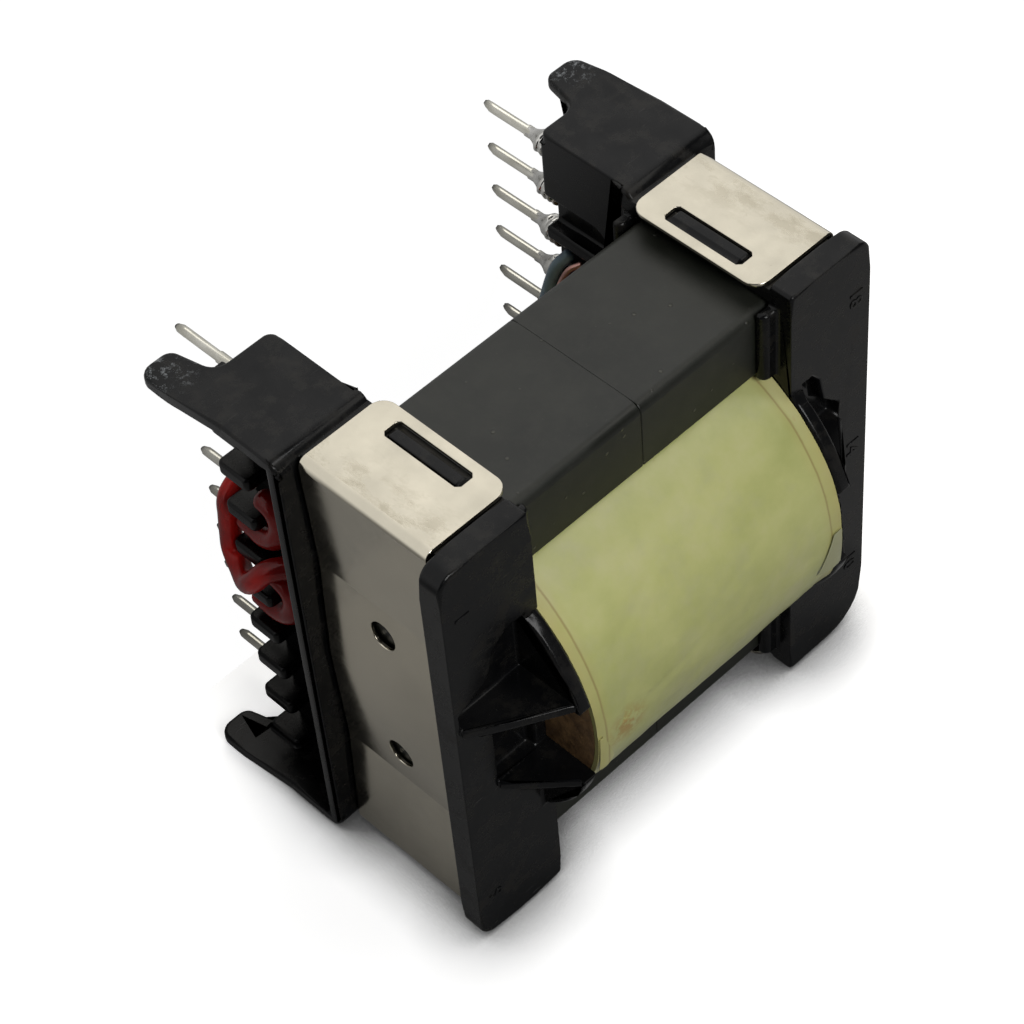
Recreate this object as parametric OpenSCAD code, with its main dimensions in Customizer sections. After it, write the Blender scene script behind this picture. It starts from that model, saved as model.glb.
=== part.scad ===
// Board-mounted power transformer on an E core with a round centre post.
// The coil axis runs along X, the pins point down and the board is at z = 0.
// Two ferrite halves slide into one moulded coil former and two spring clips hold them.

/* [Core] */
// Width of the core across its outer legs
core_w = 44; // [43:0.1:45]
// Length of one core half along the coil axis
core_l = 22.3; // [21.8:0.1:23]
// Thickness of the core
core_t = 14.8; // [14.2:0.1:15.4]
// Diameter of the round centre post
post_d = 14.8; // [14:0.1:15.2]
// Diameter of the circle that the inner faces of the outer legs follow
window_d = 33.3; // [32.8:0.1:34]
// Thickness of the core's back
back_t = 5.8; // [5.4:0.1:6.2]
// Radius of the long edges of the outer legs
core_edge_r = 0.95; // [0.3:0.05:1.5]
// Air gap ground between the centre posts
air_gap = 0.8; // [0.2:0.1:2]

/* [Coil former] */
// Height of the coil axis over the board
axis_h = 23.4; // [22.8:0.1:26]
// Wall of the tube that carries the windings
tube_wall = 1.1; // [0.8:0.1:1.5]
// Thickness of the two flanges
flange_t = 1.35; // [1:0.05:1.6]
// Radius of the two flanges
flange_r = 16.1; // [15.8:0.05:16.4]
// Thickness of the number walls on the top of the troughs
top_wall_t = 2.4; // [1.8:0.1:3]
// How far the number walls stand past the back of the core
top_wall_over = 2.2; // [1.2:0.1:3]
// Width of the pocket beside a long gusset
pocket_w = 7.6; // [6.5:0.1:7.8]
// Radius of the corners of the number walls
wall_corner_r = 1.7; // [0.5:0.1:2.5]
// Cut corner that marks the side of pin ten
key_corner = 4.4; // [2:0.1:5]
// Thickness of the side walls of the troughs
side_wall_t = 1.65; // [1.2:0.05:2]
// How far the walls stand outside the side walls
rim = 0.5; // [0.45:0.05:0.8]
// Length of the lips that guide the legs into a trough
lip_l = 1.6; // [0.8:0.1:2.4]
// Thickness of those lips
lip_t = 0.9; // [0.5:0.1:1.4]
// Thickness of the shelf between the core and the pins
shelf_t = 1.45; // [1:0.05:2]
// How far the shelf stands past the back of the core
shelf_over = 2.7; // [1.5:0.1:3.5]
// Thickness of the cheeks that end in the feet
cheek_t = 1.2; // [0.9:0.05:1.6]
// Radius of the edge where a cheek turns into the shelf
cheek_edge_r = 1.4; // [0.6:0.1:2]
// Length of a foot along the coil axis
foot_l = 3.6; // [2.5:0.1:4.5]
// How far the left feet lean out at their ends
lean_left = 0.7; // [-1:0.1:1]
// How far the right feet lean out at their ends, a minus leans them in
lean_right = -0.9; // [-1.2:0.1:1]
// Height of the pin blocks over the board
block_rise = 4.5; // [3:0.1:6]
// Distance from a pin row to the inner face of its block
block_in = 2.55; // [1.9:0.05:2.8]
// Distance from a pin row to the outer face of its block
block_out = 1.65; // [1.2:0.05:2.2]
// Distance from a pin row to the ends of its comb of teeth
tooth_reach = 4.3; // [3:0.1:4.8]
// Thickness of one tooth
tooth_t = 1.5; // [1:0.1:2]
// Height of one tooth
tooth_h = 3.8; // [2.5:0.1:5]
// How far the teeth hang below the pin blocks
tooth_drop = 1.2; // [0:0.1:2]
// Width of the arched lead notches in the pin blocks
notch_w = 3.7; // [2.5:0.1:4]
// Depth of the lead notches behind the inner face of a block
notch_depth = 1.5; // [0.8:0.1:1.8]
// Width of the lead gap in the top of each flange
lead_gap = 9.2; // [6:0.1:12]
// Thickness of the gussets beside a lead gap
gusset_t = 0.95; // [0.6:0.05:1.4]
// Length of a gusset along the number wall
gusset_l = 4.7; // [3:0.1:6]
// Length of the gusset that reaches the edge of the left number wall
long_gusset_l = 7.9; // [6:0.1:8]
// Depth of the recesses in the number walls
recess_depth = 1.4; // [0.6:0.1:1.6]
// Width of the lugs that the clips snap over
lug_w = 7.9; // [6:0.1:9]
// Length of the lugs along the coil axis
lug_l = 1.5; // [1:0.1:2]
// Distance from a tab's end to its lug
lug_back = 1.2; // [1:0.1:3]

/* [Pins] */
// Distance between neighbouring pins
pin_pitch = 5.08; // [5:0.01:5.14]
// Distance from the back of the core to the row of pins below it
row_inset = 4.52; // [4:0.01:5]
// Diameter of a pin's round free end
pin_d = 0.9; // [0.8:0.05:1.1]
// Width of a pin's squared shank, where a lead is wound on
shank_w = 0.9; // [0.8:0.05:1]
// Bevel along the four corners of a shank
shank_bevel = 0.15; // [0.1:0.05:0.2]
// Length of a pin below the board's upper face
pin_below = 5; // [3:0.1:6]
// Height over the board where a pin's round end turns into its shank
pin_step = 0.3; // [0.1:0.1:1]
// Length of a pin inside its block
pin_in_block = 6.5; // [4:0.1:8]
// Length of the bevel at a pin's end
pin_bevel = 0.6; // [0.3:0.1:1]

/* [Clips] */
// Thickness of the spring steel
clip_t = 0.4; // [0.3:0.05:0.5]
// Width of a clip
clip_w = 14.3; // [13:0.1:14.6]
// Length of the tabs over the side walls
tab_l = 8.8; // [8:0.1:9.4]
// Outer radius of the bends
clip_bend_r = 0.9; // [0.6:0.05:1.5]
// Radius of the free corners of the tabs
tab_corner_r = 1.5; // [0.5:0.1:2.5]
// Distance from the clip's middle to the two folds that press on the core
fold_y = 11.5; // [9:0.1:14]
// Radius of the two folds
fold_r = 3; // [1.5:0.1:4]
// How far the panel stands off the core at its middle
panel_rise = 0.45; // [0.1:0.05:0.8]
// Diameter of the two holes in the panel
clip_hole_d = 2.8; // [2:0.1:3.5]
// Distance between the two holes
clip_hole_gap = 16; // [12:0.1:18]

/* [Windings] */
// Width of the margin tape at each end of the windings
margin_w = 3; // [2:0.1:5]
// Diameter of the inner winding's wire
inner_wire_d = 1.2; // [0.8:0.05:1.3]
// Diameter of the outer winding's wire
outer_wire_d = 1.05; // [0.6:0.05:1.1]
// Build of the tape between the windings
inner_tape_t = 0.5; // [0.2:0.05:0.8]
// Build of the tape over the outer winding
barrier_tape_t = 0.4; // [0.2:0.05:0.5]
// Build of the wrap round the whole coil
outer_tape_t = 0.45; // [0.3:0.05:0.6]
// Diameter of the red insulated leads
red_lead_d = 2; // [1.4:0.1:2.1]
// Diameter of the sleeve over the first winding end
sleeve_d = 1.2; // [0.9:0.1:1.4]
// Diameter of a bare enamelled lead
enamel_d = 0.6; // [0.4:0.05:0.7]
// Diameter of the lead wire wound round a pin
wrap_wire_d = 0.7; // [0.5:0.05:0.8]
// Turns of lead round a pin
wrap_turns = 3; // [2:1:4]
// Length of the cone of solder below the turns
solder_cone_l = 1.1; // [0.5:0.1:1.4]

/* [Fits] */
// Clearance between the core and the coil former
core_clear = 0.15; // [0.05:0.05:0.3]
// Clearance between the core's window and the outer faces of the flanges
window_clear = 0.3; // [0.1:0.05:0.5]
// Clearance of a pin in its block
pin_clear = 0.02; // [0.01:0.01:0.05]
// Clearance between one layer of the coil and the next
layer_clear = 0.05; // [0.02:0.01:0.1]
// Clearance of the clips over the side walls and round the lugs
clip_clear = 0.05; // [0.02:0.01:0.15]

/* [Hidden] */
pins_per_row = 9;
pin_count = 2 * pins_per_row;
function two_digits(n) = str(n < 10 ? "0" : "", n);
function pin_node(n) = str("pin_", two_digits(n));

plastic_black = "#26272a";
ferrite_grey = "#3c3e38";
steel_pale = "#cfc8b6";
tin_pale = "#b8b0a0";
copper_brown = "#9a5f42";
tape_yellow = "#c9c98a";
tape_amber = "#8a6a35";
red_insulation = "#a81f18";
sleeve_blue = "#7f97a8";
solder_bright = "#c4c2ba";

round_fn = 96;
small_fn = 32;
eps = 0.01;

// Heights and distances below are measured from the coil axis
window_l = core_l - back_t;
shelf_top = -(core_t / 2 + core_clear);
shelf_bottom = shelf_top - shelf_t;
top_wall_in = core_t / 2 + core_clear;
top_wall_out = top_wall_in + top_wall_t;
side_in = core_w / 2 + core_clear;
side_out = side_in + side_wall_t;
wall_half_w = side_out + rim;
flange_out = window_l - window_clear;
flange_in = flange_out - flange_t;
tube_r_in = post_d / 2 + core_clear;
tube_r_out = tube_r_in + tube_wall;
top_wall_end = core_l + top_wall_over;
shelf_end = core_l + shelf_over;
side_end = core_l;
row_x = core_l - row_inset;
block_x_in = row_x - block_in;
block_x_out = row_x + block_out;
block_bottom = -(axis_h - block_rise);
tooth_bottom = block_bottom - tooth_drop;
lip_y = flange_r - 1.6;
tooth_end = row_x + tooth_reach;
cheek_half_w = wall_half_w + 0.2;
foot_inner_x = shelf_end - foot_l;
lug_rise = clip_clear + clip_t - 0.1;
lug_x = core_l + clip_t - tab_l + lug_back;
slot_l = lug_w + 0.6;
slot_w = lug_l + 0.4;
gap_half = lead_gap / 2;
deep_cut = axis_h + 1;
coil_half_l = flange_in - layer_clear;
wound_half_l = coil_half_l - margin_w;
inner_r0 = tube_r_out + layer_clear;
inner_r1 = inner_r0 + 2 * inner_wire_d;
inner_tape_r0 = inner_r1 + layer_clear;
inner_tape_r1 = inner_tape_r0 + inner_tape_t;
outer_r0 = inner_tape_r1 + layer_clear;
outer_r1 = outer_r0 + 3 * outer_wire_d;
barrier_r0 = outer_r1 + layer_clear;
barrier_r1 = barrier_r0 + barrier_tape_t;
outer_tape_r0 = barrier_r1 + layer_clear;
outer_tape_r1 = outer_tape_r0 + outer_tape_t;

function unit(v) = v / norm(v);

// Points of an arc that rounds the corner b between a and c
function corner_arc(a, b, c, r, steps) =
    r == 0 ? [b] :
    let (u = unit(a - b), v = unit(c - b))
    let (half = acos(u * v) / 2, back = r / tan(half))
    let (centre = b + unit(u + v) * r / sin(half))
    let (p = b + u * back - centre, q = b + v * back - centre)
    let (start = atan2(p.y, p.x), turn = atan2(p.x * q.y - p.y * q.x, p * q))
    [for (i = [0 : steps]) centre + r * [cos(start + turn * i / steps), sin(start + turn * i / steps)]];

// An outline with a radius of its own at each corner
function rounded(points, radii, steps = 6) =
    let (n = len(points))
    [for (i = [0 : n - 1])
        each corner_arc(points[(i + n - 1) % n], points[i], points[(i + 1) % n], radii[i], steps)];

module on_axis() { translate([0, 0, axis_h]) children(); }
module along_x() { rotate([0, 90, 0]) children(); }
module both_sides() { for (m = [0, 1]) mirror([0, m, 0]) children(); }

// A plate whose outline lies in X and Y, from z = low to z = high
module flat_plate(outline, low, high) {
    translate([0, 0, low]) linear_extrude(high - low) polygon(outline);
}
// A plate whose outline lies in X and Z, from y = low to y = high
module upright_plate(outline, low, high) {
    translate([0, high, 0]) rotate([90, 0, 0]) linear_extrude(high - low) polygon(outline);
}
// A bar whose outline lies in Y and Z, from x = low to x = high
module cross_bar(outline, low, high) {
    translate([low, 0, 0]) rotate([90, 0, 90]) linear_extrude(high - low) polygon(outline);
}
module box(low, high) { translate(low) cube(high - low); }
module ring(r_in, r_out, low, high) {
    along_x() translate([0, 0, low]) difference() {
        cylinder(h = high - low, r = r_out, $fn = round_fn);
        translate([0, 0, -1]) cylinder(h = high - low + 2, r = r_in, $fn = round_fn);
    }
}

/* ---- coil former ---- */

// Pocket beside a gusset, from the gusset's foot out to a point on the flange
function gusset_pocket(length, y) =
    [[flange_out - eps, y], [flange_out + length, y], [flange_out + length, y + 0.21 * pocket_w],
     [flange_out + 0.55 * length, y + 0.47 * pocket_w], [flange_out + 0.44 * length, y + 0.84 * pocket_w],
     [flange_out + 0.24 * length, y + pocket_w], [flange_out - eps, y + pocket_w]];

// Number wall on the top of a trough, with the seats of the gussets cut in
module top_wall(cut, first_gusset) {
    w = wall_half_w;
    outline = rounded(
        [[flange_in, -w], [top_wall_end, -w], [top_wall_end, w], [flange_in, w]],
        [0.4, cut > 0 ? cut : wall_corner_r, wall_corner_r, 0.4]);
    recess = [[flange_in - 1, gap_half - eps], [flange_in - 1, -gap_half + eps],
        [flange_out + gusset_l, -gap_half + eps], [flange_out + gusset_l, gap_half - eps]];
    pocket = gusset_pocket(first_gusset, gap_half + gusset_t - eps);
    difference() {
        flat_plate(outline, top_wall_in, top_wall_out);
        flat_plate(recess, top_wall_out - recess_depth, top_wall_out + 1);
        flat_plate(pocket, top_wall_out - recess_depth, top_wall_out + 1);
    }
}

// Triangular rib that stiffens the flange beside the lead gap
module gusset(length) {
    tip_z = sqrt(flange_r * flange_r - gap_half * gap_half) - 0.5;
    outline = rounded(
        [[flange_in, top_wall_in], [flange_out + length, top_wall_in],
         [flange_out + length, top_wall_out + 0.3], [flange_out, tip_z], [flange_in, tip_z]],
        [0, 0, 0.2, 0.5, 0.5]);
    upright_plate(outline, gap_half, gap_half + gusset_t);
}

// Side wall of a trough with the lug that its clip snaps over
module side_wall() {
    box([flange_in, side_in, shelf_bottom], [side_end, side_out, top_wall_in + eps]);
    lug = rounded(
        [[lug_x, side_out - eps], [lug_x + lug_l, side_out - eps],
         [lug_x + lug_l, side_out + lug_rise], [lug_x + 0.35 * lug_l, side_out + lug_rise]],
        [0, 0, 0.15, 0.15], 3);
    flat_plate(lug, -lug_w / 2, lug_w / 2);
    // Lips over and under the leg that guide it into the trough
    for (z = [top_wall_in, shelf_top - lip_t]) {
        lip = rounded(
            [[flange_in - lip_l, 0], [flange_in + eps, 0], [flange_in + eps, lip_t],
             [flange_in - lip_l, lip_t]],
            [0, 0, 0, 0.8 * lip_t]);
        translate([0, 0, z]) upright_plate(lip, lip_y, side_in);
    }
}

// Shelf and cheeks: one U section along X, cut to the side view of the feet
module shroud(lean) {
    w = cheek_half_w;
    e = cheek_edge_r;
    section = concat(
        rounded([[-w, -deep_cut], [-w, shelf_top], [w, shelf_top], [w, -deep_cut]], [0, e, e, 0]),
        [[w - cheek_t, -deep_cut], [w - cheek_t, shelf_bottom],
         [cheek_t - w, shelf_bottom], [cheek_t - w, -deep_cut]]);
    side_view = rounded(
        [[flange_in, shelf_top + 1], [flange_in, shelf_bottom - eps], [block_x_in, shelf_bottom - eps],
         [block_x_in, block_bottom], [foot_inner_x + lean - 1, block_bottom],
         [foot_inner_x + lean, -axis_h], [shelf_end + lean, -axis_h],
         [shelf_end, shelf_bottom - 5], [shelf_end, shelf_top], [shelf_end - 2, shelf_top + 1]],
        [0, 0, 0, 0.9, 1.6, 1.1, 1.4, 5, 0.9, 0]);
    intersection() {
        cross_bar(section, flange_in, shelf_end + 2);
        upright_plate(side_view, -w - 1, w + 1);
    }
}

// Arched notch that lets a lead out of the coil and down to its pin
module lead_notch(y) {
    r = notch_w / 2;
    top = shelf_bottom - 2.4;
    outline = concat(
        [[y - r, -deep_cut], [y + r, -deep_cut]],
        [for (a = [0 : 15 : 180]) [y + r * cos(a), top - r + r * sin(a)]]);
    cross_bar(outline, flange_in - 1, block_x_in + notch_depth);
}

module pin_block() {
    difference() {
        box([block_x_in, -cheek_half_w + cheek_t - eps, block_bottom],
            [block_x_out, cheek_half_w - cheek_t + eps, shelf_bottom + eps]);
        for (n = [0 : pins_per_row - 1]) translate([row_x, pin_y(n), 0])
            shank(block_bottom - 1, block_bottom + pin_in_block, pin_clear);
    }
}
function pin_y(n) = (n - (pins_per_row - 1) / 2) * pin_pitch;

// Comb of teeth between the pins, with rounded ends
module teeth() {
    outline = rounded(
        [[block_x_out - eps, tooth_bottom], [tooth_end, tooth_bottom],
         [tooth_end, tooth_bottom + tooth_h], [block_x_out - eps, tooth_bottom + tooth_h]],
        [0, 0.6, 0.6, 0]);
    for (n = [0 : pins_per_row - 2]) {
        y = pin_y(n) + pin_pitch / 2;
        upright_plate(outline, y - tooth_t / 2, y + tooth_t / 2);
    }
    both_sides() upright_plate(outline, cheek_half_w - cheek_t - tooth_t / 2, cheek_half_w - cheek_t + eps);
}

module former_end(cut, first_gusset, lean) {
    difference() {
        union() {
            ring(tube_r_out - 0.1, flange_r, flange_in, flange_out);
            shroud(lean);
            pin_block();
        }
        for (n = [1 : pins_per_row - 2]) lead_notch(pin_y(n));
        box([flange_in - 1, -gap_half, tube_r_out + 1], [flange_out + 1, gap_half, flange_r + 1]);
        along_x() cylinder(h = 2 * core_l, r = tube_r_in, $fn = round_fn);
    }
    top_wall(cut, first_gusset);
    gusset(first_gusset);
    mirror([0, 1, 0]) gusset(gusset_l);
    both_sides() side_wall();
    teeth();
}

module coil_former() {
    color(plastic_black) on_axis() {
        ring(tube_r_in, tube_r_out, -flange_out, flange_out);
        former_end(key_corner, gusset_l, lean_right);
        mirror([1, 0, 0]) former_end(0, long_gusset_l, lean_left);
    }
}

/* ---- core ---- */

module core_half() {
    w = core_w / 2;
    t = core_t / 2;
    leg = rounded([[-w, -t], [w, -t], [w, t], [-w, t]], [for (i = [1 : 4]) core_edge_r]);
    on_axis() {
        difference() {
            cross_bar(leg, 0, core_l);
            along_x() translate([0, 0, -1]) cylinder(h = window_l + 1, d = window_d, $fn = round_fn);
        }
        along_x() translate([0, 0, air_gap / 2])
            cylinder(h = window_l - air_gap / 2 + 1, d = post_d, $fn = round_fn);
    }
}
module core_half_left() { color(ferrite_grey) mirror([1, 0, 0]) core_half(); }
module core_half_right() { color(ferrite_grey) core_half(); }

/* ---- clips ---- */

// Inner face of the clip's panel, from one bend over two folds to the other
function panel(offset) =
    [[core_l + panel_rise + offset, -side_out - clip_clear - offset],
     [core_l + offset, -fold_y], [core_l + panel_rise + offset, 0], [core_l + offset, fold_y],
     [core_l + panel_rise + offset, side_out + clip_clear + offset]];

// The folded strip seen along Z, from tab to tab
function clip_face(offset, r) =
    let (y = side_out + clip_clear + offset, tab_end = core_l + clip_t - tab_l)
    let (row = panel(offset))
    rounded(concat([[tab_end, -y]], row, [[tab_end, y]]), [0, r, fold_r, 2 * fold_r, fold_r, r, 0]);

module clip() {
    strip = clip_outline();
    h = clip_w / 2;
    tab_end = core_l + clip_t - tab_l;
    far = core_l + 2;
    wide = side_out + 2;
    tab_view = rounded([[tab_end, -h], [far, -h], [far, h], [tab_end, h]], [tab_corner_r, 0, 0, tab_corner_r]);
    slot_x = lug_x + lug_l / 2;
    sw = slot_w / 2;
    sl = slot_l / 2;
    bevel = 0.35;
    slot = [[slot_x - sw, -sl + bevel], [slot_x - sw + bevel, -sl], [slot_x + sw - bevel, -sl],
        [slot_x + sw, -sl + bevel], [slot_x + sw, sl - bevel], [slot_x + sw - bevel, sl],
        [slot_x - sw + bevel, sl], [slot_x - sw, sl - bevel]];
    on_axis() difference() {
        intersection() {
            flat_plate(strip, -h, h);
            upright_plate(tab_view, -wide, wide);
        }
        upright_plate(slot, -wide, wide);
        for (s = [-1, 1]) translate([core_l - 2, s * clip_hole_gap / 2, 0])
            along_x() cylinder(h = 6, d = clip_hole_d, $fn = small_fn);
    }
}
// Outer face one way and inner face back, as one closed outline
function clip_outline() =
    let (inner = clip_face(0, clip_bend_r - clip_t))
    concat(clip_face(clip_t, clip_bend_r), [for (i = [len(inner) - 1 : -1 : 0]) inner[i]]);

module clip_left() { color(steel_pale) mirror([1, 0, 0]) clip(); }
module clip_right() { color(steel_pale) clip(); }

/* ---- pins ---- */

// Squared shank from z = low to z = high, wider all round by a clearance
module shank(low, high, wider) {
    w = shank_w / 2 + wider;
    c = w - shank_bevel;
    outline = [[w, -c], [w, c], [c, w], [-c, w], [-w, c], [-w, -c], [-c, -w], [c, -w]];
    translate([0, 0, low]) linear_extrude(high - low) polygon(outline);
}

// Pins 1 to 9 run along the left row and 10 to 18 back along the right row
module pin(n) {
    left = n <= pins_per_row;
    y = left ? pin_y(pins_per_row - n) : pin_y(n - pins_per_row - 1);
    color(tin_pale) translate([left ? -row_x : row_x, y, 0]) {
        shank(pin_step, axis_h + block_bottom + pin_in_block, 0);
        translate([0, 0, pin_bevel - pin_below])
            cylinder(h = pin_step + pin_below - pin_bevel, d = pin_d, $fn = small_fn);
        translate([0, 0, -pin_below])
            cylinder(h = pin_bevel, d1 = 0.5 * pin_d, d2 = pin_d, $fn = small_fn);
    }
}

/* ---- windings ---- */

// A winding whose outer layer shows its turns
module wound(r_in, r_out, wire_d) {
    turns = floor(2 * wound_half_l / wire_d);
    first = -(turns - 1) / 2 * wire_d;
    along_x() rotate_extrude($fn = round_fn) {
        translate([r_in, -wound_half_l]) square([r_out - r_in - wire_d / 2, 2 * wound_half_l]);
        for (i = [0 : turns - 1])
            translate([r_out - wire_d / 2, first + i * wire_d]) circle(d = wire_d * 1.001, $fn = small_fn);
    }
}
module margin_tape() {
    ring(inner_r0, outer_tape_r0 - layer_clear, wound_half_l + layer_clear, coil_half_l);
}
module inner_winding() { color(copper_brown) on_axis() wound(inner_r0, inner_r1, inner_wire_d); }
module inner_tape() {
    color(tape_yellow) on_axis() ring(inner_tape_r0, inner_tape_r1, -wound_half_l, wound_half_l);
}
module outer_winding() { color(copper_brown) on_axis() wound(outer_r0, outer_r1, outer_wire_d); }
module barrier_tape() {
    color(tape_yellow) on_axis() ring(barrier_r0, barrier_r1, -wound_half_l, wound_half_l);
}
module margin_tape_left() { color(tape_amber) on_axis() mirror([1, 0, 0]) margin_tape(); }
module margin_tape_right() { color(tape_amber) on_axis() margin_tape(); }

// The wrap round the whole coil, from flange to flange
module outer_tape() {
    color(tape_yellow) on_axis() ring(outer_tape_r0, outer_tape_r1, -coil_half_l, coil_half_l);
}

/* ---- leads and solder ---- */

// Points along a smooth curve through a row of guide points
function curve_point(p, i, t) =
    let (a = p[max(i - 1, 0)], b = p[i], c = p[i + 1], d = p[min(i + 2, len(p) - 1)])
    0.5 * (2 * b + (c - a) * t + (2 * a - 5 * b + 4 * c - d) * t * t + (3 * b - a - 3 * c + d) * t * t * t);
function smooth(p, steps) =
    concat([for (i = [0 : len(p) - 2], s = [0 : steps - 1]) curve_point(p, i, s / steps)], [p[len(p) - 1]]);

// A round tube along a row of points
module tube(path, d, sides = 10) {
    n = len(path);
    ways = [for (i = [0 : n - 1]) unit(path[min(i + 1, n - 1)] - path[max(i - 1, 0)])];
    first = unit(cross(ways[0], abs(ways[0].y) < 0.9 ? [0, 1, 0] : [1, 0, 0]));
    normals = [for (i = 0, k = first; i < n;
        i = i + 1, k = i < n ? unit(k - (k * ways[i]) * ways[i]) : k) k];
    rings = [for (i = [0 : n - 1], s = [0 : sides - 1])
        let (a = 360 * s / sides)
        path[i] + d / 2 * (cos(a) * normals[i] + sin(a) * cross(ways[i], normals[i]))];
    sides_faces = [for (i = [0 : n - 2], s = [0 : sides - 1])
        let (a = i * sides + s, b = i * sides + (s + 1) % sides)
        each [[a, a + sides, b + sides], [a, b + sides, b]]];
    caps = [[for (s = [0 : sides - 1]) s], [for (s = [sides - 1 : -1 : 0]) (n - 1) * sides + s]];
    polyhedron(points = rings, faces = concat(sides_faces, caps));
}

// Routes of the leads, from the coil side to the end at a pin or block. Each point is how far it
// lies outside the pin row and along it, in pin pitches, then its height over the block's bottom
// as a share of the block, or how far under the coil it lies, in pitches again.
block_h = shelf_bottom - block_bottom;
function beside_block(points) =
    [for (p = points) [-row_x - p.x * pin_pitch, p.y * pin_pitch, block_bottom + p.z * block_h]];
function under_coil(points) =
    [for (p = points) [row_x + p.x * pin_pitch, p.y * pin_pitch, -outer_tape_r1 - p.z * pin_pitch]];
red_run = [[-0.67, 1.97, 0.37], [-0.55, 1.99, 0.07], [-0.37, 1.87, -0.12], [-0.11, 1.65, -0.2],
    [0.28, 1.52, -0.25], [0.57, 1.3, -0.25], [0.63, 0.91, -0.25], [0.67, 0.49, -0.25],
    [0.73, 0.18, -0.22], [0.85, 0.02, -0.07], [1.03, 0.1, 0.13], [1.09, 0.43, 0.29],
    [0.95, 0.79, 0.43], [0.67, 0.85, 0.58], [0.56, 0.67, 0.66]];
red_upper_arch = [[0.54, 1, -0.07], [0.56, 0.98, 0.07], [0.61, 1.04, 0.21], [0.63, 1.26, 0.38],
    [0.57, 1.57, 0.43], [0.56, 1.89, 0.39], [0.56, 2.01, 0.25]];
red_lower_arch = [[0.54, -1, -0.07], [0.56, -1, 0.07], [0.59, -0.94, 0.21], [0.61, -0.73, 0.38],
    [0.57, -0.41, 0.43], [0.56, -0.12, 0.39], [0.56, 0, 0.25]];
sleeve_run = [[-1.37, 0.67, 0.22], [-0.94, 1.06, 0.37], [-0.7, 1.54, 0.39], [-0.59, 1.93, 0.3],
    [-0.43, 2.17, 0.16]];
// One strand of the bare leads; the strands lie side by side
function strand_run(n) =
    [[-1.26 - 0.16 * n, 1.02 + 0.06 * n, 0.08 - 0.06 * n], [-0.9, 1.38 + 0.07 * n, 0.14 - 0.12 * n],
     [-0.7, 1.77 + 0.04 * n, 0.1 - 0.15 * n], [-0.61, 2.07, -0.02 - 0.16 * n],
     [-0.47, 2.2, -0.18 - 0.16 * n]];
strands = 3;

module red_lead_upper() {
    color(red_insulation) on_axis() {
        tube(smooth(beside_block(red_run), 3), red_lead_d);
        tube(smooth(beside_block(red_upper_arch), 3), red_lead_d);
    }
}
module red_lead_lower() {
    color(red_insulation) on_axis() tube(smooth(beside_block(red_lower_arch), 3), red_lead_d);
}
module sleeved_lead() {
    color(sleeve_blue) on_axis() tube(smooth(under_coil(sleeve_run), 3), sleeve_d);
}
module enamelled_leads() {
    color(copper_brown) on_axis() for (n = [0 : strands - 1])
        tube(smooth(under_coil(strand_run(n)), 3), enamel_d, 8);
}

// Turns of lead round a pin with the solder that covers them and runs down the pin
module solder_joint() {
    r = norm([shank_w / 2, shank_w / 2 - shank_bevel]) + pin_clear;
    wound_l = wrap_turns * wrap_wire_d;
    core_r = r + wrap_wire_d / 2;
    rotate_extrude($fn = small_fn) difference() {
        union() {
            polygon([[0, 0], [core_r, 0], [core_r, -wound_l], [r + pin_clear, -wound_l - solder_cone_l],
                [0, -wound_l - solder_cone_l]]);
            for (i = [0 : wrap_turns - 1]) translate([core_r, -wrap_wire_d * (i + 0.5)])
                circle(d = 1.1 * wrap_wire_d, $fn = small_fn);
        }
        translate([0, -2 * wound_l]) square([r, 4 * wound_l]);
        translate([0, 0]) square([2 * core_r, wrap_wire_d]);
    }
}
module solder_joints() {
    color(solder_bright) on_axis() for (n = [0 : pins_per_row - 1])
        translate([row_x, pin_y(n), block_bottom - layer_clear]) solder_joint();
}

coil_former();
core_half_left();
core_half_right();
clip_left();
clip_right();
for (n = [1 : pin_count])
    pin(n);
inner_winding();
inner_tape();
outer_winding();
barrier_tape();
margin_tape_left();
margin_tape_right();
outer_tape();
red_lead_upper();
red_lead_lower();
sleeved_lead();
enamelled_leads();
solder_joints();
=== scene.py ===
"""Looks of a board-mounted power transformer, laid over its CAD frame.

Lengths are in metres in the frame of the part: X along the coil, Z away from the board.
"""
import math
import random

import bmesh
import bpy
from mathutils import Matrix, Vector, noise
from mathutils.bvhtree import BVHTree


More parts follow.
